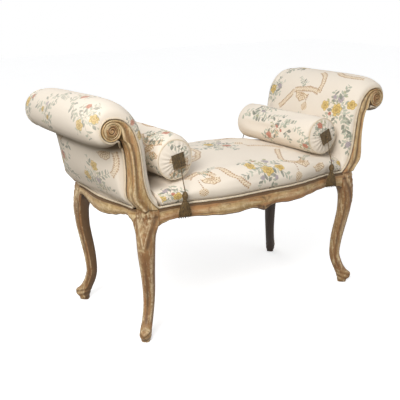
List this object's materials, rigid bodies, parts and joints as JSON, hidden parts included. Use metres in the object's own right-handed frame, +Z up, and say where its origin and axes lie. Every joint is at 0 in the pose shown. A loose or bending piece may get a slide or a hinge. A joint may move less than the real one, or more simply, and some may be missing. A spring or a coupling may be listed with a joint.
{
  "type": "window seat",
  "caption": "Upholstered window seat with outward scrolled arms, a crowned seat, carved cabriole legs and loose tasselled bolsters.",
  "frame": {"origin": "on the floor under the middle of the seat", "axes": "+X along the seat towards its right arm, -Y towards its front, +Z up"},
  "size_m": [1.1932, 0.52, 0.7404],
  "materials": {
    "painted_wood": "worn cream and ochre paint with brown glaze in the carving",
    "plain_wood": "sawn, unfinished",
    "printed_cotton": "cream cotton with a printed floral pattern",
    "piping": "plain cream cotton",
    "jute": "coarse jute",
    "braid": "woven bronze braid",
    "bronze_thread": "twisted bronze thread"
  },
  "bodies": {
    "bench": {"leg_front_left": "painted_wood", "arm_post_front_left": "painted_wood", "corner_block_front_left": "plain_wood", "leg_front_right": "painted_wood", "arm_post_front_right": "painted_wood", "corner_block_front_right": "plain_wood", "leg_back_left": "painted_wood", "arm_post_back_left": "painted_wood", "corner_block_back_left": "plain_wood", "leg_back_right": "painted_wood", "arm_post_back_right": "painted_wood", "corner_block_back_right": "plain_wood", "front_rail": "painted_wood", "front_piping": "piping", "back_rail": "painted_wood", "back_piping": "piping", "left_end_rail": "painted_wood", "arm_top_bar_left": "plain_wood", "arm_low_bar_left": "plain_wood", "arm_webbing_left": "jute", "arm_pad_left": "printed_cotton", "outside_panel_left": "printed_cotton", "panel_piping_left": "piping", "right_end_rail": "painted_wood", "arm_top_bar_right": "plain_wood", "arm_low_bar_right": "plain_wood", "arm_webbing_right": "jute", "arm_pad_right": "printed_cotton", "outside_panel_right": "printed_cotton", "panel_piping_right": "piping", "seat_webbing": "jute", "seat_hessian": "jute", "seat_pad": "printed_cotton"},
    "bolster_left": {"bolster_left": "printed_cotton", "bolster_piping_front_left": "piping", "braid_square_front_left": "braid", "bolster_piping_back_left": "piping", "braid_square_back_left": "braid"},
    "bolster_right": {"bolster_right": "printed_cotton", "bolster_piping_front_right": "piping", "braid_square_front_right": "braid", "bolster_piping_back_right": "piping", "braid_square_back_right": "braid"},
    "tassel_front_left": {"tassel_knot_front_left": "bronze_thread", "tassel_cord_front_left": "bronze_thread", "tassel_head_front_left": "bronze_thread", "tassel_skirt_front_left": "bronze_thread"},
    "tassel_front_right": {"tassel_knot_front_right": "bronze_thread", "tassel_cord_front_right": "bronze_thread", "tassel_head_front_right": "bronze_thread", "tassel_skirt_front_right": "bronze_thread"},
    "tassel_back_left": {"tassel_knot_back_left": "bronze_thread", "tassel_cord_back_left": "bronze_thread", "tassel_head_back_left": "bronze_thread", "tassel_skirt_back_left": "bronze_thread"},
    "tassel_back_right": {"tassel_knot_back_right": "bronze_thread", "tassel_cord_back_right": "bronze_thread", "tassel_head_back_right": "bronze_thread", "tassel_skirt_back_right": "bronze_thread"}
  },
  "joints": [
    {"name": "bolster_left_lift", "type": "slide", "parent": "bench", "child": "bolster_left", "axis": [0, 0, 1], "range_m": [0, 0.3]},
    {"name": "bolster_right_lift", "type": "slide", "parent": "bench", "child": "bolster_right", "axis": [0, 0, 1], "range_m": [0, 0.3]},
    {"name": "tassel_front_left_swing", "type": "hinge", "parent": "bolster_left", "child": "tassel_front_left", "pos_m": [-0.303, -0.2164, 0.55524], "axis": [-1, 0, 0], "range_deg": [0, 85]},
    {"name": "tassel_front_right_swing", "type": "hinge", "parent": "bolster_right", "child": "tassel_front_right", "pos_m": [0.303, -0.2164, 0.55524], "axis": [-1, 0, 0], "range_deg": [0, 85]},
    {"name": "tassel_back_left_swing", "type": "hinge", "parent": "bolster_left", "child": "tassel_back_left", "pos_m": [-0.303, 0.2164, 0.55524], "axis": [1, 0, 0], "range_deg": [0, 85]},
    {"name": "tassel_back_right_swing", "type": "hinge", "parent": "bolster_right", "child": "tassel_back_right", "pos_m": [0.303, 0.2164, 0.55524], "axis": [1, 0, 0], "range_deg": [0, 85]}
  ]
}
